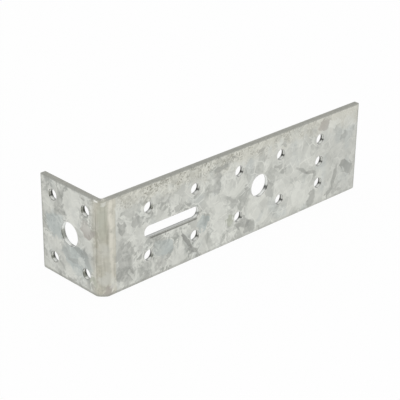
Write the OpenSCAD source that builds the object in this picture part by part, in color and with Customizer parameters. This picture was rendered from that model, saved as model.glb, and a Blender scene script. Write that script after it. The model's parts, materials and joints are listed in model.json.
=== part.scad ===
// Joining bracket for timber, one galvanised steel strip folded to a right angle.
// The strip stands on its edge, so its width is the bracket's height. The long flange
// runs along +X with its outer face towards -Y, and the short flange runs along +Y
// with its outer face towards -X. The origin is the middle of the base.

/* [Strip] */
// Thickness of the steel strip
strip_t = 2.5; // [1.5:0.1:4]
// Width of the strip, which is the bracket's height
strip_h = 50; // [46:0.5:80]
// Radius of the two corners at each free end
corner_r = 0.8; // [0.3:0.1:4]

/* [Flanges] */
// Length of the long flange, from the outer face of the short one
long_flange = 179; // [150:1:300]
// Length of the short flange, from the outer face of the long one
short_flange = 43; // [40:0.5:70]

/* [Fold] */
// Radius of the fold on its inner side
fold_r = 1.5; // [0.8:0.1:4]
// Depth of the dip that folding draws into both edges of the strip
dip_depth = 0.45; // [0.1:0.05:1]
// Width of that dip, measured straight across the fold
dip_w = 6; // [4:0.5:10]

/* [Nail holes] */
// Diameter of a nail hole
nail_d = 5.8; // [3:0.1:7]
// Distance from one column to the next on the long flange
column_pitch = 30; // [26:0.5:33]
// Distance from the free end to the last column on the long flange
end_margin = 30; // [12:0.5:34]
// Distance between the two rows on the long flange
row_gap = 25; // [18:0.5:36]
// Distance between the two columns on the short flange
short_column_gap = 23.5; // [20:0.5:27]
// Distance between the two rows on the short flange
short_row_gap = 32.5; // [26:0.5:36]

/* [Bolt holes and slot] */
// Diameter of the bolt hole in each flange
bolt_d = 12.2; // [8:0.1:14]
// Width of the slot in the long flange
slot_w = 6.2; // [4:0.1:9]
// Length of the slot, from end to end
slot_len = 35.5; // [20:0.5:44]

/* [Sheared and punched edges] */
// Radius to which shearing and punching roll the edges of the outer face
roll_r = 0.5; // [0.1:0.05:0.7]
// Share of the thickness that tears out wider at the back of a hole
tear_share = 0.4; // [0.2:0.05:0.5]
// Growth of a hole's radius from there to the inner face
tear_w = 0.15; // [0.05:0.05:0.4]

/* [Hidden] */
$fn = 96;

// Angle at which a rolled edge or a rounded corner meets the flat beside it
crease = 12;
// Reach of a cutter past the surface that it cuts
reach = 1;

// The fold's outer radius is also where both flanges turn flat
fold_outer_r = fold_r + strip_t;
mid_h = strip_h / 2;

// Columns on the long flange are counted from the free end towards the fold, as many as leave
// two hole widths of flat strip beside the fold
column_span = long_flange - end_margin - fold_outer_r - 2 * nail_d;
column_count = floor(column_span / column_pitch) + 1;

function column_x(i) = long_flange - end_margin - i * column_pitch;
function between_columns(i) = (column_x(i) + column_x(i + 1)) / 2;

// The long bolt hole sits between the second and third columns, the slot between the last two
bolt_x = between_columns(1);
slot_x = between_columns(column_count - 2);

// The holes of the short flange are centred on its inner face
short_mid_y = (strip_t + short_flange) / 2;

// The dip's cutter is a large cylinder that only its lowest part sinks into the strip
dip_r = (pow(dip_w / 2, 2) + pow(dip_depth, 2)) / (2 * dip_depth);

zinc_grey = [0.74, 0.75, 0.74];

// Waste outside a rounded right-angled corner, whose tip is at the origin
module corner_waste(r) {
    inset = r * cos(crease);
    difference() {
        translate([-reach, -reach])
            square(inset + reach);
        translate([inset, inset])
            circle(r);
    }
}

// Cross-section of the strip: x is the depth below the outer face, y the height
module strip_section() {
    difference() {
        square([strip_t, strip_h]);
        corner_waste(roll_r);
        translate([0, strip_h])
            mirror([0, 1])
                corner_waste(roll_r);
    }
}

// The section is swept along the long flange, round the fold and along the short flange
module folded_strip() {
    translate([fold_outer_r, 0, 0])
        rotate([90, 0, 90])
            linear_extrude(long_flange - fold_outer_r)
                strip_section();

    translate([fold_outer_r, fold_outer_r, 0])
        rotate([0, 0, 180])
            rotate_extrude(angle = 90)
                translate([fold_outer_r, 0])
                    mirror([1, 0])
                        strip_section();

    translate([0, short_flange, 0])
        rotate([90, 0, 0])
            linear_extrude(short_flange - fold_outer_r)
                strip_section();
}

// What shearing takes off a free end: both corners and the rolled edge of the outer face.
// The end is drawn lying down, with the strip running off towards -X, its outer face below
// and its height along Y.
module end_waste() {
    translate([0, strip_h, -reach])
        linear_extrude(strip_t + 2 * reach)
            rotate(180)
                corner_waste(corner_r);

    translate([0, 0, -reach])
        linear_extrude(strip_t + 2 * reach)
            rotate(90)
                corner_waste(corner_r);

    translate([0, strip_h + reach, 0])
        rotate([90, 0, 0])
            linear_extrude(strip_h + 2 * reach)
                mirror([1, 0])
                    corner_waste(roll_r);
}

// Dip across the fold in the edge of the strip at height z
module fold_dip(z) {
    translate([fold_outer_r, fold_outer_r, z])
        rotate([0, 0, 45])
            rotate([0, 90, 0])
                translate([0, 0, -fold_outer_r - reach])
                    cylinder(r = dip_r, h = fold_outer_r + reach + dip_w / 2);
}

// Half of a punched hole's section: x is the distance from the hole's axis, y the depth below
// the outer face. The rim is rolled in, the wall is straight, and the back tears out wider.
module punch_profile(r) {
    tear_from = strip_t * (1 - tear_share);

    translate([0, -reach])
        square([r, strip_t + 2 * reach]);
    translate([r, 0])
        corner_waste(roll_r);
    polygon([
        [0, tear_from],
        [r, tear_from],
        [r + tear_w, strip_t],
        [r + tear_w, strip_t + reach],
        [0, strip_t + reach]
    ]);
}

module round_punch(d) {
    rotate_extrude()
        punch_profile(d / 2);
}

module slot_punch(w, len) {
    run = len - w;

    for (side = [-1, 1])
        translate([side * run / 2, 0, 0])
            rotate([0, 0, -side * 90])
                rotate_extrude(angle = 180)
                    punch_profile(w / 2);

    translate([-run / 2, 0, 0])
        rotate([90, 0, 90])
            linear_extrude(run) {
                punch_profile(w / 2);
                mirror([1, 0])
                    punch_profile(w / 2);
            }
}

// Each of these stands a cutter on a flange's outer face, pointing into the steel
module on_long_flange(x, z) {
    translate([x, 0, z])
        rotate([-90, 0, 0])
            children();
}

module on_short_flange(y, z) {
    translate([0, y, z])
        rotate([-90, 0, -90])
            children();
}

// Two rows of nail holes, with one more in the middle of the column at the free end
module long_flange_holes() {
    for (i = [0 : column_count - 1])
        for (side = [-1, 1])
            on_long_flange(column_x(i), mid_h + side * row_gap / 2)
                round_punch(nail_d);

    on_long_flange(column_x(0), mid_h)
        round_punch(nail_d);
    on_long_flange(bolt_x, mid_h)
        round_punch(bolt_d);
    on_long_flange(slot_x, mid_h)
        slot_punch(slot_w, slot_len);
}

// Four nail holes round a bolt hole
module short_flange_holes() {
    for (side_y = [-1, 1])
        for (side_z = [-1, 1])
            on_short_flange(
                short_mid_y + side_y * short_column_gap / 2,
                mid_h + side_z * short_row_gap / 2
            )
                round_punch(nail_d);

    on_short_flange(short_mid_y, mid_h)
        round_punch(bolt_d);
}

module bracket() {
    color(zinc_grey)
        translate([-long_flange / 2, -short_flange / 2, 0])
            difference() {
                folded_strip();
                long_flange_holes();
                short_flange_holes();

                translate([long_flange, 0, 0])
                    rotate([90, 0, 0])
                        mirror([0, 0, 1])
                            end_waste();
                translate([0, short_flange, 0])
                    rotate([90, 0, 90])
                        end_waste();

                fold_dip(strip_h + dip_r - dip_depth);
                fold_dip(dip_depth - dip_r);
            }
}

bracket();
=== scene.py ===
"""A joining bracket for timber: one galvanised steel strip, punched flat and folded once.

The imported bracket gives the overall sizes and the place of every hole. This script makes the
strip again the way a press does: it cuts the blank, punches it, rolls the edges of the outer
face, folds it, and then dresses it in spangled zinc with bare steel on its sheared walls.

Blank coordinates are used throughout: `along` runs along the strip's outer face from the middle
of the fold, positive on the long flange, `up` runs across the strip's width from its lower edge,
and `depth` runs into the steel from the outer face. Lengths are in metres.
"""

from __future__ import annotations

import json
import logging
import math
from dataclasses import dataclass
from enum import Enum
from typing import Any, Iterable

import bmesh
import bpy
from mathutils import Matrix, Vector

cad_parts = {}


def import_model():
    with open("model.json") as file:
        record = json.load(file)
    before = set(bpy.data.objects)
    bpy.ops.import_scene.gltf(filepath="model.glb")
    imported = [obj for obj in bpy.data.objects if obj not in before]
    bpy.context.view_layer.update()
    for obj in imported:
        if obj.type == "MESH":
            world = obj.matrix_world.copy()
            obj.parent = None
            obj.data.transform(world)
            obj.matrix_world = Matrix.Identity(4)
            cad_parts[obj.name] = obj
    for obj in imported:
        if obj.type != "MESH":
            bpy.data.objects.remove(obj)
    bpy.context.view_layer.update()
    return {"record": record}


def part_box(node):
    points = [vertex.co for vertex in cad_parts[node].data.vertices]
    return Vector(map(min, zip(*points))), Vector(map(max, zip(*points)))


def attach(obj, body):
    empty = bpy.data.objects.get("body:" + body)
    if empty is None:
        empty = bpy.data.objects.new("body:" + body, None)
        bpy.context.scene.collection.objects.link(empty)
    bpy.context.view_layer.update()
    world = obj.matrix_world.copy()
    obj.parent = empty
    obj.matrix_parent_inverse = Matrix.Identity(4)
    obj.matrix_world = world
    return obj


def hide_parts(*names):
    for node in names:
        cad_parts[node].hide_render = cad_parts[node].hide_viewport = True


LOG = logging.getLogger("joining_bracket")

MM = 0.001
STRIP_MAP = "strip"
DEPTH_ATTRIBUTE = "depth"
PUNCHED_ATTRIBUTE = "punched"
LIT_LOWER_SIDE_ATTRIBUTE = "lit_lower_side"
INNER_FACE_SHIFT = 1.0
IN_MM = 1000.0
LARGEST_NAIL_RADIUS = 4 * MM

Colour = tuple[float, float, float]


def rgba(colour: Colour) -> tuple[float, float, float, float]:
    """Return an opaque colour."""
    return (*colour, 1.0)


class Socket:
    """One value of a material's node graph, on which arithmetic adds Math nodes."""

    def __init__(self, graph: "Graph", link: bpy.types.NodeSocket) -> None:
        """Wrap an output.

        Args:
            graph: The graph that the output belongs to.
            link: The node output.
        """
        self.graph = graph
        self.link = link

    def __add__(self, other: "Value") -> "Socket":
        """Return self + other."""
        return self.graph.math("ADD", self, other)

    def __radd__(self, other: "Value") -> "Socket":
        """Return other + self."""
        return self.graph.math("ADD", other, self)

    def __sub__(self, other: "Value") -> "Socket":
        """Return self - other."""
        return self.graph.math("SUBTRACT", self, other)

    def __rsub__(self, other: "Value") -> "Socket":
        """Return other - self."""
        return self.graph.math("SUBTRACT", other, self)

    def __mul__(self, other: "Value") -> "Socket":
        """Return self * other."""
        return self.graph.math("MULTIPLY", self, other)

    def __rmul__(self, other: "Value") -> "Socket":
        """Return other * self."""
        return self.graph.math("MULTIPLY", other, self)

    def __truediv__(self, other: "Value") -> "Socket":
        """Return self / other."""
        return self.graph.math("DIVIDE", self, other)

    def __abs__(self) -> "Socket":
        """Return the size of the value without its sign."""
        return self.graph.math("ABSOLUTE", self)

    def least(self, other: "Value") -> "Socket":
        """Return the smaller of two values."""
        return self.graph.math("MINIMUM", self, other)

    def most(self, other: "Value") -> "Socket":
        """Return the larger of two values."""
        return self.graph.math("MAXIMUM", self, other)

    def fade(self, start: "Value", end: "Value") -> "Socket":
        """Step smoothly from 0 to 1.

        Args:
            start: The value at which the step is still 0, which may be the larger of the two.
            end: The value at which it has reached 1.

        Returns:
            The step.
        """
        return self.graph.node(
            "ShaderNodeMapRange",
            {"interpolation_type": "SMOOTHSTEP", "clamp": False},
            {"Value": self, "From Min": start, "From Max": end, "To Min": 0.0, "To Max": 1.0},
            "Result",
        )


Value = Socket | float


class Graph:
    """The node graph of one material or of the world."""

    def __init__(self, tree: bpy.types.NodeTree) -> None:
        """Empty the tree and keep it.

        Args:
            tree: The node tree to fill.
        """
        tree.nodes.clear()
        self.tree = tree

    def add(self, kind: str, settings: dict[str, Any], values: dict[Any, Any]) -> bpy.types.Node:
        """Add a node.

        Args:
            kind: The node's type, such as ShaderNodeTexNoise.
            settings: Its settings, set first.
            values: Its inputs by name or number, each a Socket or a constant.

        Returns:
            The new node.
        """
        node = self.tree.nodes.new(kind)
        for name, setting in settings.items():
            setattr(node, name, setting)
        for name, value in values.items():
            if isinstance(value, Socket):
                self.tree.links.new(value.link, node.inputs[name])
            else:
                node.inputs[name].default_value = value
        return node

    def node(self, kind: str, settings: dict[str, Any], values: dict[Any, Any], out: Any = 0) -> Socket:
        """Add a node and return one of its outputs.

        Args:
            kind: The node's type.
            settings: Its settings.
            values: Its inputs.
            out: The wanted output, by name or number.

        Returns:
            That output.
        """
        return Socket(self, self.add(kind, settings, values).outputs[out])

    def math(self, operation: str, *values: Value) -> Socket:
        """Add a Math node on one to three values and return its result."""
        return self.node("ShaderNodeMath", {"operation": operation}, dict(enumerate(values)))

    def vector(self, operation: str, *values: Any) -> Socket:
        """Add a Vector Math node on its vectors and return its vector."""
        inputs = dict(enumerate(values))
        return self.node("ShaderNodeVectorMath", {"operation": operation}, inputs, "Vector")

    def dot(self, vector: Any, way: tuple[float, float, float]) -> Socket:
        """Return how far a vector reaches along a fixed way."""
        inputs = {0: vector, 1: way}
        return self.node("ShaderNodeVectorMath", {"operation": "DOT_PRODUCT"}, inputs, "Value")

    def seen_from(self, place: Any, point: Any, turn: Value) -> Socket:
        """Return a place as seen from a point.

        Args:
            place: The place.
            point: The point.
            turn: The turn of the view's axes against the clock, in radians.

        Returns:
            The place along those axes.
        """
        values = {"Vector": self.vector("SUBTRACT", place, point), "Angle": turn}
        return self.node("ShaderNodeVectorRotate", {"rotation_type": "Z_AXIS", "invert": True}, values)

    def tint(self, share: Value, under: Any, over: Any, blend: str = "MIX") -> Socket:
        """Lay one colour over another.

        Args:
            share: How much of the upper colour shows.
            under: The lower colour.
            over: The upper colour.
            blend: How they blend.

        Returns:
            The blended colour.
        """
        settings = {"data_type": "RGBA", "blend_type": blend, "clamp_factor": True}
        values = {"Factor": share, 6: under, 7: over}
        return self.node("ShaderNodeMix", settings, values, 2)


class HoleKind(Enum):
    """Kinds of hole, each with the number that its walls carry in the mesh."""

    SLOT = 0.4
    BOLT = 0.6
    NAIL = 1.0


@dataclass(frozen=True)
class Punch:
    """One punched hole, in blank coordinates. A slot has a straight run between two half rounds."""

    along: float
    up: float
    radius: float
    run: float = 0.0

    @property
    def kind(self) -> HoleKind:
        """Kind of hole."""
        if self.run:
            return HoleKind.SLOT
        return HoleKind.BOLT if self.radius > LARGEST_NAIL_RADIUS else HoleKind.NAIL

    def outline(self, blank: bmesh.types.BMesh, segments: int) -> None:
        """Add the hole's rim to the flat blank.

        Args:
            blank: The mesh that gets the loop of edges.
            segments: How many edges the round parts have together.
        """
        half_step = math.pi / segments
        place = Matrix.Translation((self.along, self.up, 0.0)) @ Matrix.Rotation(half_step, 4, "Z")
        rim = bmesh.ops.create_circle(
            blank, cap_ends=False, segments=segments, radius=self.radius, matrix=place
        )
        for side in (-1, 1):
            half = [v for v in rim["verts"] if (v.co.x - self.along) * side > 0]
            bmesh.ops.translate(blank, verts=half, vec=(side * self.run / 2, 0, 0))

    def away(self, along: float, up: float) -> Vector:
        """Measure from the hole's middle line to a point of the strip.

        Args:
            along: The point's place along the strip.
            up: Its height.

        Returns:
            The way from the line to the point.
        """
        reach = along - self.along
        on_line = max(-self.run / 2, min(self.run / 2, reach))
        return Vector((reach - on_line, up - self.up, 0.0))

    def gap(self, along: float, up: float) -> float:
        """Return how far a point lies outside the hole's rim."""
        return self.away(along, up).length - self.radius


@dataclass
class StripPlan:
    """Sizes of the folded strip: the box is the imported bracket's, the rest is the strip's own."""

    low: Vector
    high: Vector
    thickness: float = 2.5 * MM
    fold_radius: float = 1.5 * MM
    corner_radius: float = 0.8 * MM
    dip_depth: float = 0.45 * MM
    dip_width: float = 6.0 * MM
    dip_fade: float = 6.0 * MM

    @property
    def height(self) -> float:
        """Width of the strip."""
        return self.high.z - self.low.z

    @property
    def outer_radius(self) -> float:
        """Radius of the fold on its outer side."""
        return self.fold_radius + self.thickness

    @property
    def fold_half(self) -> float:
        """Half the length of the fold, along the outer face."""
        return self.outer_radius * math.pi / 4

    @property
    def long_end(self) -> float:
        """Place of the long flange's free end."""
        return self.high.x - self.low.x - self.outer_radius + self.fold_half

    @property
    def short_end(self) -> float:
        """Place of the short flange's free end, which is negative."""
        return -(self.high.y - self.low.y - self.outer_radius + self.fold_half)

    def folded(self, along: float, up: float, depth: float) -> Vector:
        """Return where a point of the flat blank lies once the strip is folded.

        Args:
            along: Its place along the strip.
            up: Its height.
            depth: Its depth below the outer face.

        Returns:
            The point in the bracket's own frame.
        """
        radius = self.outer_radius
        bent = max(-self.fold_half, min(self.fold_half, along))
        turn = bent / radius + math.pi / 4
        flat = along - bent
        x = radius - (radius - depth) * math.cos(turn) + max(flat, 0.0)
        y = radius - (radius - depth) * math.sin(turn) + max(-flat, 0.0)
        across = abs(x - y) / math.sqrt(2)
        return self.low + Vector((x, y, self._dipped(up, across)))

    def _dipped(self, up: float, across: float) -> float:
        """Return a height with the dip that folding draws into the strip's edges.

        Args:
            up: The height before folding.
            across: Distance from the fold's middle plane.

        Returns:
            The height after folding.
        """
        reach = self.dip_width / 2
        curve = (reach**2 + self.dip_depth**2) / (2 * self.dip_depth)
        if across >= reach:
            return up
        dip = math.sqrt(curve**2 - across**2) - (curve - self.dip_depth)
        from_below = max(0.0, 1 - up / self.dip_fade)
        from_above = max(0.0, 1 - (self.height - up) / self.dip_fade)
        return up + dip * from_below - dip * from_above

    def punches(self, mounts: Iterable[dict[str, Any]]) -> list[Punch]:
        """Read every hole from the bracket's mounts.

        Args:
            mounts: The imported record's mounts.

        Returns:
            The holes, in blank coordinates.
        """
        holes = []
        for mount in mounts:
            dims = mount["dims"]
            radius = (dims.get("r_mm") or dims.get("hole_r_mm") or 0.0) * MM
            if not radius:
                continue
            slot_length = dims.get("slot_length_mm", 0.0) * MM
            run = slot_length - 2 * radius if slot_length else 0.0
            across = dims.get("spacing_x_mm", 0.0) * MM / 2
            rise = dims.get("spacing_y_mm", 0.0) * MM / 2
            place = Vector(mount["pos_m"]) - self.low
            on_long = abs(mount["axis"][1]) > abs(mount["axis"][0])
            flat = (place.x if on_long else place.y) - self.outer_radius + self.fold_half
            middle = flat if on_long else -flat
            for step in sorted({-across, across}):
                for lift in sorted({-rise, rise}):
                    holes.append(Punch(middle + step, place.z + lift, radius, run))
        return holes


@dataclass
class FoldedStrip:
    """The whole bracket as one mesh: blanked, punched, rolled at its edges and folded."""

    plan: StripPlan
    holes: list[Punch]
    roll: float = 0.385 * MM
    roll_segments: int = 4
    inner_edge: float = 0.1 * MM
    inner_segments: int = 2
    tear_from: float = 1.5 * MM
    tear: float = 0.15 * MM
    hole_segments: int = 72
    fold_segments: int = 24
    corner_segments: int = 5
    sharp_angle: float = math.radians(35)
    rim_angle: float = math.radians(45)
    same_depth: float = 1e-6

    @property
    def near(self) -> float:
        """Distance from a hole's rim within which a point belongs to its wall."""
        return 4 * self.inner_edge

    def build(self) -> bpy.types.Object:
        """Make the strip's object.

        Returns:
            The object, in the bracket's frame.
        """
        blank = self._blank()
        self._thicken(blank)
        self._roll_edges(blank)
        self._tear_holes(blank)
        self._cut_fold_lines(blank)
        self._write_strip_map(blank)
        self._fold(blank)
        mesh = bpy.data.meshes.new("folded_strip")
        blank.to_mesh(mesh)
        blank.free()
        mesh.shade_smooth()
        mesh.set_sharp_from_angle(angle=self.sharp_angle)
        strip = bpy.data.objects.new("folded_strip", mesh)
        bpy.context.scene.collection.objects.link(strip)
        weighting = strip.modifiers.new("even_shading", "WEIGHTED_NORMAL")
        weighting.keep_sharp = True
        return strip

    def _blank(self) -> bmesh.types.BMesh:
        """Cut and punch the flat blank.

        Returns:
            The blank, as triangles that face away from the steel.
        """
        plan = self.plan
        blank = bmesh.new()
        bmesh.ops.create_grid(blank, x_segments=1, y_segments=1, size=0.5)
        size = (plan.long_end - plan.short_end, plan.height, 1.0)
        middle = ((plan.long_end + plan.short_end) / 2, plan.height / 2, 0.0)
        bmesh.ops.scale(blank, vec=size, verts=blank.verts)
        bmesh.ops.translate(blank, vec=middle, verts=blank.verts)
        bmesh.ops.bevel(
            blank,
            geom=blank.verts[:],
            affect="VERTICES",
            offset=plan.corner_radius,
            segments=self.corner_segments,
            profile=0.5,
            material=-1,
        )
        bmesh.ops.delete(blank, geom=blank.faces[:], context="FACES_ONLY")
        for hole in self.holes:
            hole.outline(blank, self.hole_segments)
        bmesh.ops.triangle_fill(
            blank, use_beauty=True, use_dissolve=False, edges=blank.edges[:], normal=(0, 0, -1)
        )
        return blank

    def _thicken(self, blank: bmesh.types.BMesh) -> None:
        """Give the blank its thickness, away from the outer face.

        Args:
            blank: The flat blank.
        """
        sheet = bmesh.ops.extrude_face_region(blank, geom=blank.faces[:], use_keep_orig=True)
        back = [v for v in sheet["geom"] if isinstance(v, bmesh.types.BMVert)]
        bmesh.ops.translate(blank, verts=back, vec=(0, 0, self.plan.thickness))
        bmesh.ops.recalc_face_normals(blank, faces=blank.faces[:])

    def _rim(self, blank: bmesh.types.BMesh, depth: float) -> list[bmesh.types.BMEdge]:
        """Return the edges where walls meet a flat face.

        Args:
            blank: The thick blank.
            depth: The depth of that face.

        Returns:
            Its edges.
        """
        rim = []
        for edge in blank.edges:
            at_depth = all(abs(v.co.z - depth) < self.same_depth for v in edge.verts)
            if at_depth and edge.calc_face_angle(0.0) > self.rim_angle:
                rim.append(edge)
        return rim

    def _roll_edges(self, blank: bmesh.types.BMesh) -> None:
        """Round the edges of the outer face as shearing does, and soften those of the inner one.

        Args:
            blank: The thick blank.
        """
        rolls = (
            (0.0, self.roll, self.roll_segments),
            (self.plan.thickness, self.inner_edge, self.inner_segments),
        )
        for depth, offset, segments in rolls:
            bmesh.ops.bevel(
                blank,
                geom=self._rim(blank, depth),
                affect="EDGES",
                offset=offset,
                offset_type="OFFSET",
                segments=segments,
                profile=0.5,
                clamp_overlap=True,
                material=-1,
            )

    def _tear_holes(self, blank: bmesh.types.BMesh) -> None:
        """Widen each hole towards the inner face, where the slug tore out.

        Args:
            blank: The thick blank.
        """
        bmesh.ops.bisect_plane(
            blank,
            geom=blank.verts[:] + blank.edges[:] + blank.faces[:],
            plane_co=(0, 0, self.tear_from),
            plane_no=(0, 0, 1),
        )
        for vert in blank.verts:
            share = (vert.co.z - self.tear_from) / (self.plan.thickness - self.tear_from)
            if share <= 0:
                continue
            for hole in self.holes:
                away = hole.away(vert.co.x, vert.co.y)
                if away.length < hole.radius + self.near:
                    vert.co += away.normalized() * self.tear * share
                    break

    def _cut_fold_lines(self, blank: bmesh.types.BMesh) -> None:
        """Cut the blank across wherever the fold bends it.

        Args:
            blank: The thick blank.
        """
        half = self.plan.fold_half
        for step in range(self.fold_segments + 1):
            place = -half + 2 * half * step / self.fold_segments
            bmesh.ops.bisect_plane(
                blank,
                geom=blank.verts[:] + blank.edges[:] + blank.faces[:],
                plane_co=(place, 0, 0),
                plane_no=(1, 0, 0),
            )

    def _write_strip_map(self, blank: bmesh.types.BMesh) -> None:
        """Keep each point's blank coordinates for the finish, with the inner face moved aside.

        Args:
            blank: The thick blank.
        """
        strip_map = blank.loops.layers.uv.new(STRIP_MAP)
        depth = blank.verts.layers.float.new(DEPTH_ATTRIBUTE)
        punched = blank.verts.layers.float.new(PUNCHED_ATTRIBUTE)
        lit_lower_side = blank.verts.layers.float.new(LIT_LOWER_SIDE_ATTRIBUTE)
        for vert in blank.verts:
            vert[depth] = vert.co.z
            nearest = min(self.holes, key=lambda hole: hole.gap(vert.co.x, vert.co.y))
            at_wall = nearest.gap(vert.co.x, vert.co.y) < self.roll + self.near
            vert[punched] = nearest.kind.value if at_wall else 0.0
            # Which side of its nearest hole a point lies on, 1 at the lower side, where the finish paints
            # light.
            vert[lit_lower_side] = -nearest.away(vert.co.x, vert.co.y).normalized().y
        for face in blank.faces:
            face.normal_update()
            shift = INNER_FACE_SHIFT if face.normal.z > 0.5 else 0.0
            for loop in face.loops:
                loop[strip_map].uv = (loop.vert.co.x + shift, loop.vert.co.y)

    def _fold(self, blank: bmesh.types.BMesh) -> None:
        """Fold the blank to its right angle.

        Args:
            blank: The finished blank.
        """
        for vert in blank.verts:
            vert.co = self.plan.folded(*vert.co)
        bmesh.ops.recalc_face_normals(blank, faces=blank.faces[:])


def srgb(red: float, green: float, blue: float) -> Colour:
    """Turn a colour from display values into linear light.

    Args:
        red: Its red, from 0 to 255.
        green: Its green.
        blue: Its blue.

    Returns:
        The colour.
    """

    def linear(value: float) -> float:
        """Return one channel as linear light."""
        share = value / 255
        return share / 12.92 if share <= 0.04045 else ((share + 0.055) / 1.055) ** 2.4

    return (linear(red), linear(green), linear(blue))


class Shade(Enum):
    """Tones that one crystal of the spangle can have."""

    PALE = srgb(228, 229, 222)
    SILVER = srgb(214, 215, 209)
    GREY = srgb(168, 169, 164)
    DARK = srgb(142, 143, 138)
    BLUE = srgb(178, 187, 186)
    GREEN = srgb(178, 182, 166)
    WARM = srgb(200, 194, 178)
    PLUM = srgb(172, 166, 159)


@dataclass(frozen=True)
class Crystal:
    """One large crystal of the spangle, placed on the blank in millimetres.

    It fades from its near end, at minus half its length, to its far end by `lean`. All crystals are
    placed from the photo.
    """

    along: float
    up: float
    half_length: float
    half_width: float
    turn: float
    shade: Shade
    share: float = 0.6
    soft: float = 0.08
    lean: float = 0.4

    @property
    def slender(self) -> bool:
        """Whether it is so narrow that facets would break it up."""
        shorter, longer = sorted((self.half_length, self.half_width))
        return longer > 3 * shorter


@dataclass(frozen=True)
class Fan:
    """A crystal that spreads from a point in rays, placed on the blank in millimetres."""

    along: float
    up: float
    reach: float
    turn: float
    half_angle: float
    share: float = 0.6


SHORT_FLANGE_CRYSTALS = (
    Crystal(-38.0, 46.6, 3.6, 2.2, 0.0, Shade.GREY, 0.46, 0.20),
    Crystal(-28.0, 39.8, 5.4, 7.8, 161.0, Shade.DARK, 0.62, 0.06, 0.9),
    Crystal(-18.4, 40.4, 7.4, 8.4, -19.0, Shade.PALE, 0.76, 0.06, 0.6),
    Crystal(-31.6, 26.6, 7.0, 6.0, 12.0, Shade.BLUE, 0.66, 0.22, 0.3),
    Crystal(-36.5, 16.0, 4.6, 4.2, 30.0, Shade.SILVER, 0.50),
    Crystal(-38.6, 35.0, 2.6, 4.6, 0.0, Shade.PALE, 0.34, 0.20),
    Crystal(-8.8, 31.4, 4.2, 4.4, 90.0, Shade.PLUM, 0.86, 0.06, 0.6),
    Crystal(-10.5, 24.2, 6.0, 3.4, 10.0, Shade.SILVER, 0.50),
    Crystal(-17.0, 13.6, 10.4, 7.2, -24.0, Shade.BLUE, 0.62, 0.10, 0.2),
    Crystal(-19.0, 12.4, 4.2, 1.4, 5.0, Shade.DARK, 0.42, 0.14),
    Crystal(-14.6, 19.0, 4.2, 1.8, -14.0, Shade.DARK, 0.44, 0.10),
    Crystal(-10.2, 16.2, 4.4, 1.5, -58.0, Shade.DARK, 0.52, 0.10),
    Crystal(-25.0, 16.4, 3.2, 4.4, 10.0, Shade.GREY, 0.44),
    Crystal(-6.5, 18.0, 3.2, 4.0, 12.0, Shade.GREY, 0.36),
    Crystal(-13.6, 13.6, 2.2, 2.8, -8.0, Shade.PALE, 0.50),
    Crystal(-17.0, 5.0, 6.6, 3.0, 18.0, Shade.PALE, 0.44),
    Crystal(-27.8, 6.8, 3.2, 0.8, -48.0, Shade.DARK, 0.46, 0.14),
    Crystal(-20.4, 2.2, 2.8, 1.2, 0.0, Shade.DARK, 0.44, 0.16),
    Crystal(-34.5, 5.6, 5.0, 3.0, -24.0, Shade.SILVER, 0.50),
    Crystal(-40.2, 9.0, 1.4, 2.0, 0.0, Shade.GREY, 0.60),
    Crystal(-12.2, 47.4, 1.6, 0.8, 25.0, Shade.DARK, 0.66),
    Crystal(-5.0, 6.8, 1.8, 3.0, 20.0, Shade.GREEN, 0.70),
)

FOLD_CRYSTALS = (
    Crystal(0.8, 39.0, 2.4, 9.0, 0.0, Shade.GREEN, 0.36, 0.30, 0.2),
    Crystal(0.5, 24.0, 3.4, 3.0, 20.0, Shade.SILVER, 0.30, 0.30),
    Crystal(2.0, 9.0, 3.6, 3.0, -12.0, Shade.SILVER, 0.46, 0.30),
    Crystal(3.4, 3.0, 2.8, 2.4, 204.0, Shade.PLUM, 0.82, 0.10),
    Crystal(7.0, 5.4, 2.4, 3.2, 0.0, Shade.PALE, 0.62, 0.30),
    Crystal(0.4, 47.8, 1.4, 1.0, 0.0, Shade.PALE, 0.60, 0.40),
)

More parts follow.
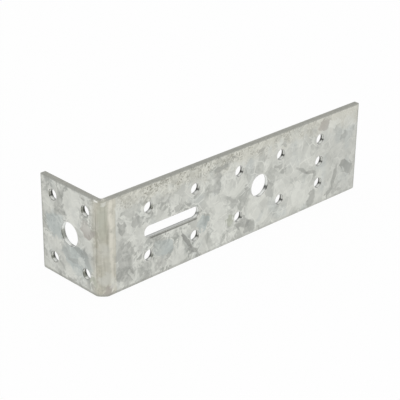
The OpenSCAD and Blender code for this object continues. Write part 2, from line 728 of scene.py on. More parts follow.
LONG_FLANGE_CRYSTALS_AND_SHADE = (
    # The first two are broad grey patches of painted shade, where the light falls off towards the long
    # flange's far end, not crystals.
    Crystal(167.0, 18.0, 14.0, 18.0, 180.0, Shade.GREY, 0.30, 0.30, 0.5),
    Crystal(154.0, 31.0, 8.0, 9.0, 0.0, Shade.GREY, 0.18, 0.30, 0.2),
    Crystal(10.6, 32.2, 2.4, 3.2, 12.0, Shade.DARK, 0.60),
    Crystal(15.6, 32.4, 2.2, 5.4, 24.0, Shade.PALE, 0.60, 0.08, 0.8),
    Crystal(20.4, 33.2, 3.4, 3.4, -8.0, Shade.GREY, 0.62),
    Crystal(11.0, 43.4, 3.0, 3.0, 20.0, Shade.PALE, 0.40),
    Crystal(13.4, 14.8, 5.2, 10.8, 4.0, Shade.GREY, 0.56, 0.12, 0.3),
    Crystal(16.0, 13.0, 1.0, 5.6, 4.0, Shade.DARK, 0.32),
    Crystal(11.2, 8.0, 2.2, 3.4, -20.0, Shade.DARK, 0.32),
    Crystal(18.4, 8.4, 2.2, 1.4, -10.0, Shade.DARK, 0.44),
    Crystal(17.0, 6.4, 0.9, 3.6, 24.0, Shade.PALE, 0.52),
    Crystal(20.0, 5.0, 0.8, 3.0, -24.0, Shade.PALE, 0.46),
    Crystal(23.2, 20.2, 3.4, 5.0, 12.0, Shade.SILVER, 0.60, 0.08, 0.6),
    Crystal(26.0, 6.0, 2.4, 4.4, 16.0, Shade.GREY, 0.50),
    Crystal(32.0, 8.0, 1.0, 3.6, -10.0, Shade.PALE, 0.44),
    Crystal(31.6, 20.0, 4.6, 2.6, -10.0, Shade.GREY, 0.34),
    Crystal(37.4, 13.0, 7.0, 4.4, 162.0, Shade.BLUE, 0.62, 0.08, 0.6),
    Crystal(36.0, 5.4, 3.4, 3.4, 10.0, Shade.GREY, 0.36),
    Crystal(41.8, 8.6, 3.4, 1.7, 38.0, Shade.DARK, 0.52),
    Crystal(43.0, 19.0, 3.6, 3.2, 10.0, Shade.SILVER, 0.34),
    Crystal(47.4, 30.6, 2.4, 1.6, 8.0, Shade.DARK, 0.50),
    Crystal(38.6, 38.6, 3.4, 2.6, 0.0, Shade.GREY, 0.42),
    Crystal(43.0, 36.0, 1.6, 3.8, 10.0, Shade.PALE, 0.34),
    Crystal(52.8, 11.4, 5.8, 1.0, -56.0, Shade.DARK, 0.72, 0.10, 0.0),
    Crystal(56.6, 5.6, 3.6, 1.4, -24.0, Shade.DARK, 0.56, 0.16, 0.0),
    Crystal(47.6, 7.0, 3.6, 5.4, 8.0, Shade.PALE, 0.56, 0.10, 0.8),
    Crystal(57.8, 18.4, 3.2, 2.6, 0.0, Shade.GREY, 0.46),
    Crystal(63.9, 17.4, 3.6, 4.4, 180.0, Shade.BLUE, 0.80, 0.06, 0.5),
    Crystal(65.8, 18.0, 1.6, 2.8, 30.0, Shade.DARK, 0.34, 0.20),
    Crystal(72.4, 35.6, 4.0, 5.0, 172.0, Shade.GREY, 0.86, 0.05, 0.8),
    Crystal(76.8, 31.4, 0.8, 2.2, -12.0, Shade.DARK, 0.56),
    Crystal(83.6, 34.0, 8.0, 7.6, 6.0, Shade.PALE, 0.62, 0.06, 0.7),
    Crystal(75.6, 43.0, 4.8, 1.4, 4.0, Shade.DARK, 0.52, 0.20, 0.0),
    Crystal(84.2, 45.0, 2.4, 0.9, -10.0, Shade.DARK, 0.50, 0.20),
    Crystal(70.4, 44.8, 2.2, 0.8, -14.0, Shade.DARK, 0.46, 0.20),
    Crystal(73.4, 13.5, 6.2, 11.0, 180.0, Shade.PALE, 0.50, 0.06, 0.5),
    Crystal(79.6, 7.4, 0.3, 7.0, 0.0, Shade.PALE, 0.66),
    Crystal(82.4, 13.0, 2.8, 2.6, 194.0, Shade.GREEN, 0.80, 0.08, 0.3),
    Crystal(91.4, 8.0, 4.4, 3.0, -22.0, Shade.DARK, 0.46, 0.06, 0.0),
    Crystal(95.8, 5.2, 3.6, 3.6, -22.0, Shade.DARK, 0.46, 0.06, 0.0),
    Crystal(88.4, 8.8, 2.4, 1.6, -24.0, Shade.DARK, 0.44),
    Crystal(84.0, 23.2, 5.0, 1.0, -30.0, Shade.GREY, 0.66, 0.20),
    Crystal(99.4, 14.0, 5.4, 7.0, 10.0, Shade.PALE, 0.52),
    Crystal(94.0, 26.4, 2.8, 1.0, -12.0, Shade.DARK, 0.50, 0.20),
    Crystal(111.4, 20.6, 2.9, 4.6, 190.0, Shade.DARK, 0.48, 0.06, 0.3),
    Crystal(103.6, 44.0, 1.4, 1.1, 0.0, Shade.DARK, 0.50, 0.20),
    Crystal(107.0, 38.2, 2.0, 1.2, 20.0, Shade.GREY, 0.50, 0.20),
    Crystal(120.8, 43.6, 1.8, 1.2, 0.0, Shade.DARK, 0.46, 0.20),
    Crystal(116.6, 31.6, 2.6, 1.0, 10.0, Shade.DARK, 0.46, 0.20),
    Crystal(120.6, 28.0, 1.9, 0.7, 6.0, Shade.DARK, 0.44, 0.20),
    Crystal(120.0, 19.0, 6.6, 7.6, 12.0, Shade.PALE, 0.42),
    Crystal(131.0, 34.0, 9.0, 6.0, -10.0, Shade.PALE, 0.36, 0.15),
    Crystal(135.2, 23.4, 5.6, 0.9, 148.0, Shade.DARK, 0.62, 0.24, 0.4),
    Crystal(141.4, 20.4, 2.6, 1.1, -6.0, Shade.DARK, 0.50, 0.24, 0.2),
    Crystal(144.2, 18.2, 1.2, 2.4, 0.0, Shade.DARK, 0.54, 0.20),
    Crystal(130.0, 19.0, 2.2, 1.8, 0.0, Shade.GREY, 0.46, 0.20),
    Crystal(134.6, 10.0, 6.8, 7.4, 14.0, Shade.PALE, 0.56),
    Crystal(143.2, 4.4, 2.6, 4.6, -20.0, Shade.DARK, 0.52, 0.12, 0.2),
    Crystal(152.0, 6.0, 5.0, 3.2, 10.0, Shade.SILVER, 0.40),
    Crystal(161.0, 12.4, 1.3, 6.0, -14.0, Shade.DARK, 0.54, 0.14),
    Crystal(157.2, 3.8, 3.4, 1.7, 46.0, Shade.DARK, 0.58, 0.16),
    Crystal(171.2, 15.0, 5.6, 3.2, -44.0, Shade.DARK, 0.66, 0.06, 0.5),
    Crystal(170.4, 6.0, 3.6, 3.4, 10.0, Shade.SILVER, 0.50),
    Crystal(150.6, 44.6, 3.8, 2.6, 0.0, Shade.PLUM, 0.62, 0.10, 0.3),
    Crystal(159.0, 43.8, 4.4, 2.5, -4.0, Shade.PALE, 0.68, 0.06, 0.3),
    Crystal(167.8, 34.6, 3.0, 2.4, 0.0, Shade.DARK, 0.36, 0.16),
    Crystal(165.4, 3.2, 1.7, 1.0, -20.0, Shade.DARK, 0.40, 0.20),
)

FANS = (
    Fan(48.2, 20.0, 19.0, 184.0, 20.0, 0.58),
    Fan(30.5, 13.0, 12.0, 180.0, 16.0, 0.40),
    Fan(-22.0, 20.0, 16.0, 200.0, 40.0, 0.30),
    Fan(121.0, 24.0, 18.0, 110.0, 34.0, 0.26),
    Fan(66.0, 44.0, 16.0, 205.0, 30.0, 0.24),
)


@dataclass(frozen=True)
class ZincFinish:
    """Hot-dip zinc with a spangle of large soft crystals, worn thin at the fold, with painted shade and
    light at its edges and holes.
    """

    plan: StripPlan
    holes: list[Punch]
    name: str = "galvanised_zinc"
    crystal: float = 10.0
    body: Colour = srgb(213, 214, 207)
    deep: Colour = srgb(164, 166, 160)
    bright: Colour = srgb(230, 231, 224)
    cool: Colour = srgb(186, 194, 195)
    warm: Colour = srgb(206, 200, 180)
    fleck: Colour = srgb(138, 135, 122)
    worn: Colour = srgb(190, 186, 169)
    pressed: Colour = srgb(234, 231, 219)
    glint: Colour = srgb(252, 252, 248)
    cut: Colour = srgb(172, 172, 164)
    # rolled is the grey of the cut steel, and also serves as painted shade along the outer face's rolled
    # edges.
    rolled: Colour = srgb(156, 157, 150)
    # The pale smooth band of each hole's wall, also used as painted light on each hole's lower side.
    burnished_and_lit: Colour = srgb(222, 224, 220)
    # The dark deep part of each hole's wall: real fractured steel, darkened further as painted shade.
    torn_and_shaded: Colour = srgb(104, 104, 99)
    # The colour of the painted shade line under the slot.
    slot_shade: Colour = srgb(106, 106, 100)

    def make(self) -> bpy.types.Material:
        """Write the material.

        Returns:
            The material.
        """
        material = bpy.data.materials.new(self.name)
        material.use_nodes = True
        graph = Graph(material.node_tree)
        strip_map = graph.node("ShaderNodeUVMap", {"uv_map": STRIP_MAP}, {})
        place = graph.vector("MULTIPLY", strip_map, (IN_MM, IN_MM, 0.0))
        mapped = graph.dot(place, (1.0, 0.0, 0.0))
        up = graph.dot(place, (0.0, 1.0, 0.0))
        halfway = INNER_FACE_SHIFT * IN_MM / 2
        inner = mapped.fade(halfway - 1.0, halfway + 1.0)
        along = mapped - inner * INNER_FACE_SHIFT * IN_MM
        outer = 1.0 - inner
        depth = self._attribute(graph, DEPTH_ATTRIBUTE) * IN_MM
        punched = self._attribute(graph, PUNCHED_ATTRIBUTE)
        # Painted light on each hole's lower side, read from the mesh.
        lit_lower_side = self._attribute(graph, LIT_LOWER_SIDE_ATTRIBUTE).fade(0.35, 0.95)

        warped = self._warped(graph, place)
        tone, feather, relief = self._spangle(graph, place, warped)
        colour = self._tones(graph, tone, place)
        colour = self._shards(graph, colour, warped, along)
        colour = self._fans(graph, colour, place)
        mottle = self._mottle(graph, place, feather)
        colour = graph.tint(mottle.fade(0.5, 0.9) * 0.5, colour, rgba(self.bright))
        colour = graph.tint(mottle.fade(0.5, 0.1) * 0.5, colour, rgba(self.deep))
        colour = self._top_drips(graph, colour, place, along, up, outer)
        colour = self._fold_wear(graph, colour, place, along, up, outer)
        colour = self._named_crystals(graph, colour, place)
        # Painted shade: the outer face darkens along its rolled upper and lower edges and at its ends.
        ragged = (self._noise(graph, place, 1.4, 3.0) - 0.5) * 1.1
        upper = (self.plan.height / MM - up + ragged * 0.6).fade(1.35, 0.6)
        upper = upper * (abs(along).fade(1.5, 4.5) * 0.6 + 0.4)
        lower = (up + ragged * 0.6).fade(1.7, 0.7) * (along.fade(60.0, 20.0) * 0.5 + 0.30)
        ends = (along - self.plan.short_end / MM).least(self.plan.long_end / MM - along) + ragged
        rim = upper.most(lower).most(ends.fade(1.1, 0.3) * 0.6)
        colour = graph.tint(rim * 0.80, colour, rgba(self.rolled))
        # Painted shade: a dark line just below the slot's lower edge.
        colour = self._painted_slot_shade(graph, colour, along, up + ragged * 0.3, outer)
        # A painted highlight: a fixed pale patch at the fold's upper corner, where the photo may show a
        # reflection
        glint = abs(along + 2.5).fade(1.6, 0.6) * up.fade(48.4, 48.8) * up.fade(49.7, 49.4) * outer
        colour = graph.tint(glint * 0.75, colour, rgba(self.glint))
        colour, gloss, dull = self._walls(graph, colour, place, along, depth, punched, lit_lower_side)

        rough = 0.47 + (tone - 0.5) * 0.10 - gloss * 0.22 + dull * 0.15
        metal = 0.62 + gloss * 0.36 - dull * 0.22
        height = relief * 0.6 + mottle * 0.4
        bump = graph.node(
            "ShaderNodeBump",
            {},
            {"Strength": 0.16, "Distance": 0.00012, "Height": height},
            "Normal",
        )
        shader = graph.node(
            "ShaderNodeBsdfPrincipled",
            {},
            {"Base Color": colour, "Metallic": metal, "Roughness": rough, "Normal": bump},
        )
        graph.add("ShaderNodeOutputMaterial", {}, {"Surface": shader})
        return material

    @staticmethod
    def _attribute(graph: Graph, name: str) -> Socket:
        """Return a number that the mesh carries."""
        return graph.node("ShaderNodeAttribute", {"attribute_name": name}, {}, "Fac")

    @staticmethod
    def _noise(graph: Graph, place: Any, size: float, detail: float = 2.0, out: str = "Fac") -> Socket:
        """Return noise whose lumps are about the given size in millimetres."""
        values = {"Vector": place, "Scale": 1 / size, "Detail": detail, "Roughness": 0.55}
        return graph.node("ShaderNodeTexNoise", {"noise_dimensions": "2D"}, values, out)

    @staticmethod
    def _cells(
        graph: Graph, place: Socket, size: float, feature: str = "F1", out: str = "Color"
    ) -> Socket:
        """Return a pattern of cells about as wide as the given size in millimetres."""
        settings = {"voronoi_dimensions": "2D", "feature": feature}
        return graph.node("ShaderNodeTexVoronoi", settings, {"Vector": place, "Scale": 1 / size}, out)

    @staticmethod
    def _offset(graph: Graph, colour: Socket, reach: float) -> Socket:
        """Turn a colour into a shift along the strip and across it.

        Args:
            graph: The material's graph.
            colour: The colour, whose middle grey means no shift.
            reach: The shift from the colour's lowest value to its highest, in millimetres.

        Returns:
            The shift.
        """
        centred = graph.vector("SUBTRACT", colour, (0.5, 0.5, 0.5))
        return graph.vector("MULTIPLY", centred, (reach, reach, 0.0))

    def _warped(self, graph: Graph, place: Socket) -> Socket:
        """Shake the blank coordinates, so that crystal borders run unevenly.

        Args:
            graph: The material's graph.
            place: Blank coordinates.

        Returns:
            The same, shaken.
        """
        broad = self._offset(graph, self._noise(graph, place, 9.0, 1.0, "Color"), 4.0)
        fine = self._offset(graph, self._noise(graph, place, 1.6, 2.0, "Color"), 0.4)
        return graph.vector("ADD", graph.vector("ADD", place, broad), fine)

    def _spangle(self, graph: Graph, place: Socket, warped: Socket) -> tuple[Socket, Socket, Socket]:
        """Grow the crystals.

        Args:
            graph: The material's graph.
            place: Blank coordinates.
            warped: The same, shaken.

        Returns:
            Each crystal's tone, the feathers inside it, and its relief.
        """
        cells = self._cells(graph, warped, self.crystal)
        chance = graph.add("ShaderNodeSeparateColor", {}, {"Color": cells})
        tone = Socket(graph, chance.outputs[0])
        turn = Socket(graph, chance.outputs[1]) * math.pi
        turned = graph.node(
            "ShaderNodeVectorRotate",
            {"rotation_type": "Z_AXIS"},
            {"Vector": warped, "Angle": turn},
        )
        stretched = graph.vector("MULTIPLY", turned, (0.16, 1.0, 0.0))
        feather = self._noise(graph, stretched, 1.5, 3.0)
        relief = feather * 0.5 + tone * 0.5
        return tone, feather, relief

    def _tones(self, graph: Graph, tone: Socket, place: Socket) -> Socket:
        """Colour the zinc before its large crystals are laid on.

        Args:
            graph: The material's graph.
            tone: Each crystal's tone.
            place: Blank coordinates.

        Returns:
            The colour.
        """
        broad = self._noise(graph, place, 17.0, 1.0)
        level = tone * 0.5 + broad * 0.5
        colour = graph.tint(level.fade(0.55, 0.80) * 0.45, rgba(self.body), rgba(self.bright))
        colour = graph.tint(level.fade(0.45, 0.22) * 0.45, colour, rgba(self.deep))
        shifted = graph.vector("ADD", place, (300.0, 140.0, 0.0))
        chill = self._noise(graph, shifted, 14.0, 1.0).fade(0.52, 0.72)
        return graph.tint(chill * 0.35, colour, rgba(self.cool))

    def _shards(self, graph: Graph, colour: Socket, warped: Socket, along: Socket) -> Socket:
        """Break the crystals into small shards, most near the fold, with hairlines between some.

        Args:
            graph: The material's graph.
            colour: The zinc so far.
            warped: Blank coordinates, shaken.
            along: Place along the strip.

        Returns:
            The colour with its shards.
        """
        rough_parts = self._noise(graph, warped, 11.0, 1.0).fade(0.34, 0.58)
        rough_parts = rough_parts * (along.fade(110.0, 55.0) * 0.75 + 0.25)
        for size, plain, extra in ((6.4, 0.26, 0.30), (3.0, 0.12, 0.52), (1.2, 0.04, 0.56)):
            share = rough_parts * extra + plain
            cells = self._cells(graph, warped, size)
            chance = graph.node("ShaderNodeSeparateColor", {}, {"Color": cells}, 1)
            colour = graph.tint(chance.fade(0.45, 1.0) * share, colour, rgba(self.bright))
            colour = graph.tint(chance.fade(0.55, 0.0) * share, colour, rgba(self.deep))
        border = self._cells(graph, warped, 6.0, "DISTANCE_TO_EDGE", "Distance")
        patchy = self._noise(graph, warped, 8.0, 1.0).fade(0.48, 0.62)
        return graph.tint(border.fade(0.07, 0.02) * patchy * 0.6, colour, rgba(self.bright))

    def _named_crystals(self, graph: Graph, colour: Socket, place: Socket) -> Socket:
        """Lay the large crystals on the outer face, and the painted shade at the long flange's far end.

        Args:
            graph: The material's graph.
            colour: The zinc so far.
            place: Blank coordinates.

        Returns:
            The colour with its crystals.
        """
        broad = self._offset(graph, self._noise(graph, place, 5.0, 1.0, "Color"), 2.0)
        fine = self._offset(graph, self._noise(graph, place, 1.3, 2.0, "Color"), 0.5)
        warped = graph.vector("ADD", graph.vector("ADD", place, broad), fine)
        facets = self._cells(graph, warped, 2.8)
        faceted = graph.vector("ADD", warped, self._offset(graph, facets, 2.4))
        plate = self._crystal_plate()
        for crystal in SHORT_FLANGE_CRYSTALS + FOLD_CRYSTALS + LONG_FLANGE_CRYSTALS_AND_SHADE:
            values = {
                "Place": warped if crystal.slender else faceted,
                "Under": colour,
                "Over": rgba(crystal.shade.value),
                "Middle": (crystal.along, crystal.up, 0.0),
                "Turn": math.radians(crystal.turn),
                "Size": (1 / crystal.half_length, 1 / crystal.half_width, 0.0),
                "Outside": 1.0 + crystal.soft,
                "Inside": 1.0 - crystal.soft,
                "Share": crystal.share,
                "Lean": crystal.lean,
            }
            colour = graph.node("ShaderNodeGroup", {"node_tree": plate}, values, "Colour")
        return colour

    @staticmethod
    def _crystal_plate() -> bpy.types.NodeTree:
        """Write the node group that lays one six-sided crystal over a colour.

        Returns:
            The group.
        """
        tree = bpy.data.node_groups.new("crystal_plate", "ShaderNodeTree")
        inputs = {
            "NodeSocketVector": ("Place", "Middle", "Size"),
            "NodeSocketColor": ("Under", "Over"),
            "NodeSocketFloat": ("Turn", "Outside", "Inside", "Share", "Lean"),
        }
        for kind, names in inputs.items():
            for name in names:
                tree.interface.new_socket(name=name, in_out="INPUT", socket_type=kind)
        tree.interface.new_socket(name="Colour", in_out="OUTPUT", socket_type="NodeSocketColor")
        graph = Graph(tree)
        given = {s.name: Socket(graph, s) for s in graph.add("NodeGroupInput", {}, {}).outputs if s.name}
        local = graph.seen_from(given["Place"], given["Middle"], given["Turn"])
        across = graph.vector("MULTIPLY", local, given["Size"])
        quarter = graph.vector("ABSOLUTE", across)
        reach = graph.dot(quarter, (1.0, 0.0, 0.0)).most(graph.dot(quarter, (0.5, 0.87, 0.0)))
        mask = reach.fade(given["Outside"], given["Inside"])
        kept = 1.0 - given["Lean"] * (graph.dot(across, (0.5, 0.0, 0.0)) + 0.5)
        colour = graph.tint(mask * kept * given["Share"], given["Under"], given["Over"])
        graph.add("NodeGroupOutput", {}, {"Colour": colour})
        return tree

    def _fans(self, graph: Graph, colour: Socket, place: Socket) -> Socket:
        """Lay the crystals that spread in rays.

        Args:
            graph: The material's graph.
            colour: The zinc so far.
            place: Blank coordinates.

        Returns:
            The colour with its rays.
        """
        for fan in FANS:
            local = graph.seen_from(place, (fan.along, fan.up, 0.0), math.radians(fan.turn))
            side = graph.dot(local, (1.0, 0.0, 0.0))
            ahead = graph.dot(local, (0.0, 1.0, 0.0))
            bend = (self._noise(graph, place, 4.0, 2.0) - 0.5) * 0.5
            angle = graph.math("ARCTAN2", side, ahead) + bend
            reach = graph.node("ShaderNodeVectorMath", {"operation": "LENGTH"}, {0: local}, "Value")
            half = math.radians(fan.half_angle)
            mask = abs(angle).fade(half * 1.15, half * 0.8) * reach.fade(fan.reach, fan.reach * 0.75)
            rays = graph.node(
                "ShaderNodeTexNoise",
                {"noise_dimensions": "1D"},
                {"W": angle * (2.4 / half) + fan.along, "Scale": 1.0, "Detail": 2.0},
                "Fac",
            )
            middle = abs(angle).fade(half * 0.75, half * 0.25)
            colour = graph.tint(mask * middle * fan.share, colour, rgba(self.bright))
            sides = mask * (1.0 - middle) * rays.fade(0.35, 0.6)
            colour = graph.tint(sides * fan.share, colour, rgba(self.deep))
        return colour

    def _mottle(self, graph: Graph, place: Socket, feather: Socket) -> Socket:
        """Return the fine unevenness of the zinc."""
        return feather * 0.65 + self._noise(graph, place, 2.6, 4.0) * 0.35

    def _top_drips(
        self, graph: Graph, colour: Socket, place: Socket, along: Socket, up: Socket, outer: Socket
    ) -> Socket:
        """Lay on the warm speckled band where the zinc ran off the long flange's upper edge.

        Args:
            graph: The material's graph.
            colour: The zinc so far.
            place: Blank coordinates.
            along: Place along the strip.
            up: Height.
            outer: 1 on the outer face and 0 on the inner one.

        Returns:
            The colour with the band.
        """
        ragged = up + (self._noise(graph, place, 6.0, 2.0) - 0.5) * 14.0
        band = ragged.fade(39.0, 46.0) * along.fade(2.0, 12.0) * outer
        colour = graph.tint(band * 0.26, colour, rgba(self.warm))
        grains = self._noise(graph, place, 0.9, 2.0)
        patchy = self._noise(graph, place, 5.0, 1.0).fade(0.42, 0.62)
        flecks = band * grains.fade(0.52, 0.62) * patchy * along.fade(160.0, 95.0)
        colour = graph.tint(flecks * 0.75, colour, rgba(self.fleck))
        glints = band * grains.fade(0.42, 0.34)
        return graph.tint(glints * 0.45, colour, rgba(self.bright))

    def _fold_wear(
        self, graph: Graph, colour: Socket, place: Socket, along: Socket, up: Socket, outer: Socket
    ) -> Socket:
        """Wear the zinc where the fold stretched it, with the marks of the folding tool.

        Args:
            graph: The material's graph.
            colour: The zinc so far.
            place: Blank coordinates.
            along: Place along the strip.
            up: Height.
            outer: 1 on the outer face and 0 on the inner one.

        Returns:
            The colour with the wear.
        """
        ragged = along + (self._noise(graph, place, 7.0, 2.0) - 0.5) * 1.6
        band = ragged.fade(-8.0, -2.2) * ragged.fade(8.4, 7.6) * outer
        band = band + abs(ragged).fade(7.0, 2.0) * (1.0 - outer) * 0.6
        blotches = self._noise(graph, place, 5.0, 3.0)
        colour = graph.tint(band * (blotches * 0.5 + 0.38), colour, rgba(self.worn))
        upright = graph.vector("MULTIPLY", place, (1.0, 0.06, 0.0))
        marks = self._noise(graph, upright, 1.3, 3.0)
        colour = graph.tint(band * marks.fade(0.50, 0.72) * 0.34, colour, rgba(self.fleck))
        bright_line = ragged.fade(3.0, 4.8) * ragged.fade(8.2, 7.2) * blotches.fade(0.25, 0.55) * outer
        bright_line = bright_line * (up.fade(4.0, 34.0) * 0.35 + 0.40)
        bright_line = bright_line * (ragged.fade(6.8, 5.4) * 0.45 + 0.55)
        colour = graph.tint(bright_line, colour, rgba(self.pressed))
        press_line = abs(along + 2.6).fade(0.5, 0.15) * up.fade(4.0, 10.0) * up.fade(47.0, 40.0)
        return graph.tint(press_line * 0.35, colour, rgba(self.fleck))

    def _painted_slot_shade(self, graph: Graph, colour: Socket, along: Socket, up: Socket, outer: Socket) -> Socket:
        """Paint a dark line of shade just below the slot's lower edge.

        Args:
            graph: The material's graph.
            colour: The zinc so far.
            along: Place along the strip.
            up: Height.
            outer: 1 on the outer face and 0 on the inner one.

        Returns:
            The colour with the painted shade line.
        """
        for hole in self.holes:
            if hole.kind is HoleKind.SLOT:
                line = abs(up - (hole.up - hole.radius) / MM + 0.55).fade(0.62, 0.25)
                half = (hole.run / 2 + hole.radius * 0.4) / MM
                line = line * abs(along - hole.along / MM - 1.0).fade(half, half - 1.5)
                colour = graph.tint(line * outer * 0.75, colour, rgba(self.slot_shade))
        return colour

    def _walls(
        self,
        graph: Graph,
        colour: Socket,
        place: Socket,
        along: Socket,
        depth: Socket,
        punched: Socket,
        lit_lower_side: Socket,
    ) -> tuple[Socket, Socket, Socket]:
        """Colour the sheared and punched walls, with painted shade deep in each hole and painted light on
        each hole's lower side.

        Args:
            graph: The material's graph.
            colour: The zinc so far.
            place: Blank coordinates.
            along: Place along the strip.
            depth: Depth below the outer face in millimetres.
            punched: The kind of hole on the walls of holes, 0 elsewhere.
            lit_lower_side: How much painted light a hole's wall gets, most at its lower side, which faces
                up.

        Returns:
            The colour with its walls, where they shine, and where they are dull.
        """
        grain = self._noise(graph, place, 1.3, 3.0)
        uneven = depth + (grain - 0.5) * 0.5
        wall = depth.fade(0.10, 0.34) * depth.fade(2.46, 2.40)
        sheared = graph.tint(grain.fade(0.35, 0.65) * 0.5, rgba(self.cut), rgba(self.rolled))
        bruises = abs(along).fade(6.5, 2.0) * self._noise(graph, place, 0.8, 1.0).fade(0.44, 0.58)
        sheared = graph.tint(bruises * 0.6, sheared, rgba(self.pressed))
        nail = punched.fade(0.7, 0.9)
        slot = punched.fade(0.55, 0.45)
        mouth = graph.tint(nail * 0.25, rgba(self.rolled), rgba(self.burnished_and_lit))
        hole = graph.tint(nail * 0.50, rgba(self.burnished_and_lit), rgba(self.cut))
        hole = graph.tint(uneven.fade(0.30, 0.60), mouth, hole)
        # The deep fractured part of each hole's wall is darker: real steel colour with painted shade on
        # top.
        torn_and_shaded = (uneven + nail * 0.35).fade(1.60, 1.95) * (nail * 0.75 + slot * 0.20 + 0.25)
        # Painted light: each nail hole's wall is lighter at its lower side, which faces up.
        hole = graph.tint(torn_and_shaded * (1.0 - lit_lower_side * nail * 0.55), hole, rgba(self.torn_and_shaded))
        hole = graph.tint(lit_lower_side * nail * uneven.fade(0.0, 0.5) * 0.35, hole, rgba(self.burnished_and_lit))
        in_hole = punched.fade(0.1, 0.3)
        steel = graph.tint(in_hole, sheared, hole)
        shining = depth.fade(0.0, 0.08) * depth.fade(2.46, 2.40) * in_hole * (1.0 - slot * 0.3)
        return graph.tint(wall, colour, steel), shining, wall * (1.0 - in_hole)


@dataclass
class PhotoCamera:
    """The camera, at the photograph's viewing angle.

    It looks at a point that is given from the bracket's corner.
    """

    azimuth: float = -44.405
    elevation: float = 25.687
    roll: float = 0.8265
    distance: float = 640.02 * MM
    focal_pixels: float = 1306.14
    frame_pixels: float = 400.0
    aim_x: float = 70.127 * MM
    aim_y: float = 8.21 * MM
    aim_z: float = 25.092 * MM
    sensor: float = 36.0
    clip_start: float = 0.01

    def place(self, corner: Vector) -> None:
        """Create the camera.

        Args:
            corner: The corner where the bracket's outer faces would meet, at its base.
        """
        data = bpy.data.cameras.new("photo_camera")
        data.sensor_width = self.sensor
        data.lens = self.sensor * self.focal_pixels / self.frame_pixels
        data.clip_start = self.clip_start
        camera = bpy.data.objects.new("photo_camera", data)
        bpy.context.scene.collection.objects.link(camera)
        turn, tilt, roll = (math.radians(a) for a in (self.azimuth, self.elevation, self.roll))
        back = Vector((math.sin(turn) * math.cos(tilt), -math.cos(turn) * math.cos(tilt), math.sin(tilt)))
        level = (-back).cross(Vector((0, 0, 1))).normalized()
        rise = level.cross(-back)
        right = level * math.cos(roll) + rise * math.sin(roll)
        up = rise * math.cos(roll) - level * math.sin(roll)
        aim = corner + Vector((self.aim_x, self.aim_y, self.aim_z))
        turned = Matrix((right, up, back)).transposed().to_4x4()
        camera.matrix_world = Matrix.Translation(aim + back * self.distance) @ turned
        bpy.context.scene.camera = camera


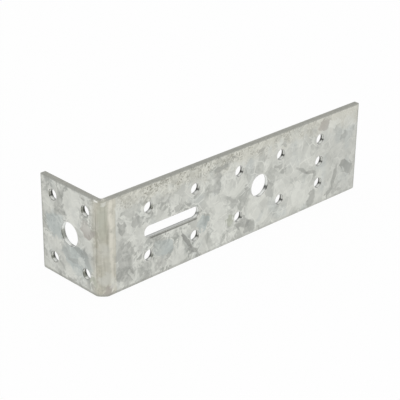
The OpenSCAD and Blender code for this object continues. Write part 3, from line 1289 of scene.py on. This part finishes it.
@dataclass(frozen=True)
class Studio:
    """White floor, plain surroundings and one soft lamp, with a room that only reflections see."""

    floor_size: float = 20.0
    floor_paint: Colour = (0.85, 0.85, 0.85)
    floor_whiteness: float = 0.96
    white: Colour = (1.0, 1.0, 1.0)
    plain: Colour = (0.85, 0.85, 0.85)
    ring: Colour = (0.13, 0.13, 0.13)
    window: Colour = (0.5, 0.5, 0.5)
    ceiling: Colour = (1.0, 1.0, 1.0)

    def build(self, base: float) -> None:
        """Lay the floor, light the room and hang the lamp.

        Args:
            base: Height of the surface that the bracket stands on.
        """
        self._floor(base)
        self._room()
        self._lamp("key_lamp", place=(-0.6, -1.8, 1.2), size=1.8, watts=8.0)

    def _floor(self, base: float) -> None:
        """Lay the floor, which looks white and scatters light as matt paint.

        Args:
            base: Its height.
        """
        plate = bmesh.new()
        bmesh.ops.create_grid(plate, x_segments=1, y_segments=1, size=self.floor_size / 2)
        bmesh.ops.translate(plate, vec=(0, 0, base), verts=plate.verts)
        mesh = bpy.data.meshes.new("floor")
        plate.to_mesh(mesh)
        plate.free()
        floor = bpy.data.objects.new("floor", mesh)
        bpy.context.scene.collection.objects.link(floor)
        material = bpy.data.materials.new("white_floor")
        material.use_nodes = True
        graph = Graph(material.node_tree)
        path = graph.add("ShaderNodeLightPath", {}, {})
        seen = Socket(graph, path.outputs["Is Camera Ray"])
        seen = seen.most(Socket(graph, path.outputs["Is Glossy Ray"]))
        seen = seen.most(Socket(graph, path.outputs["Is Transmission Ray"]))
        paint = graph.node("ShaderNodeBsdfDiffuse", {}, {"Color": rgba(self.floor_paint)})
        white = graph.node("ShaderNodeEmission", {}, {"Color": rgba(self.white), "Strength": 1.0})
        shares = {"Fac": seen * self.floor_whiteness, 1: paint, 2: white}
        surface = graph.node("ShaderNodeMixShader", {}, shares)
        graph.add("ShaderNodeOutputMaterial", {}, {"Surface": surface})
        mesh.materials.append(material)

    def _room(self) -> None:
        """Light the room evenly, and show reflections a ceiling, a darker ring and a window side."""
        world = bpy.data.worlds.new("room")
        bpy.context.scene.world = world
        world.use_nodes = True
        graph = Graph(world.node_tree)
        way = graph.node("ShaderNodeTexCoord", {}, {}, "Generated")
        rise = graph.dot(way, (0.0, 0.0, 1.0))
        above = rise.fade(0.40, 0.64)
        facing = graph.dot(way, (0.7, 0.7, 0.0))
        ring = graph.tint(facing.fade(0.1, 0.8), rgba(self.ring), rgba(self.window))
        colour = graph.tint(above, ring, rgba(self.ceiling))
        colour = graph.tint(rise.fade(0.10, -0.05), colour, rgba(self.white))
        reflected = graph.node("ShaderNodeLightPath", {}, {}, "Is Glossy Ray")
        colour = graph.tint(reflected, rgba(self.plain), colour)
        light = graph.node("ShaderNodeBackground", {}, {"Color": colour, "Strength": 1.0})
        graph.add("ShaderNodeOutputWorld", {}, {"Surface": light})

    def _lamp(self, name: str, place: tuple[float, float, float], size: float, watts: float) -> None:
        """Hang one square lamp that faces the bracket.

        Args:
            name: Its name.
            place: Where it hangs.
            size: Its width.
            watts: Its power.
        """
        data = bpy.data.lights.new(name, "AREA")
        data.size = size
        data.energy = watts
        lamp = bpy.data.objects.new(name, data)
        bpy.context.scene.collection.objects.link(lamp)
        lamp.location = place
        lamp.rotation_euler = (-Vector(place)).to_track_quat("-Z", "Y").to_euler()


def main() -> None:
    """Build the bracket and its studio, and report each piece."""
    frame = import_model()
    bpy.context.scene.view_settings.view_transform = "Standard"

    low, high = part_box("bracket")
    plan = StripPlan(low, high)
    holes = plan.punches(frame["record"]["mounts"])
    strip = FoldedStrip(plan, holes).build()
    strip.data.materials.append(ZincFinish(plan, holes).make())
    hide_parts("bracket")
    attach(strip, "root")
    LOG.info("folded strip: %d holes, %d faces", len(holes), len(strip.data.polygons))

    Studio().build(low.z)
    PhotoCamera().place(low)
    LOG.info("studio and camera are in place")


if __name__ == "__main__":
    logging.basicConfig(level=logging.INFO)
    main()
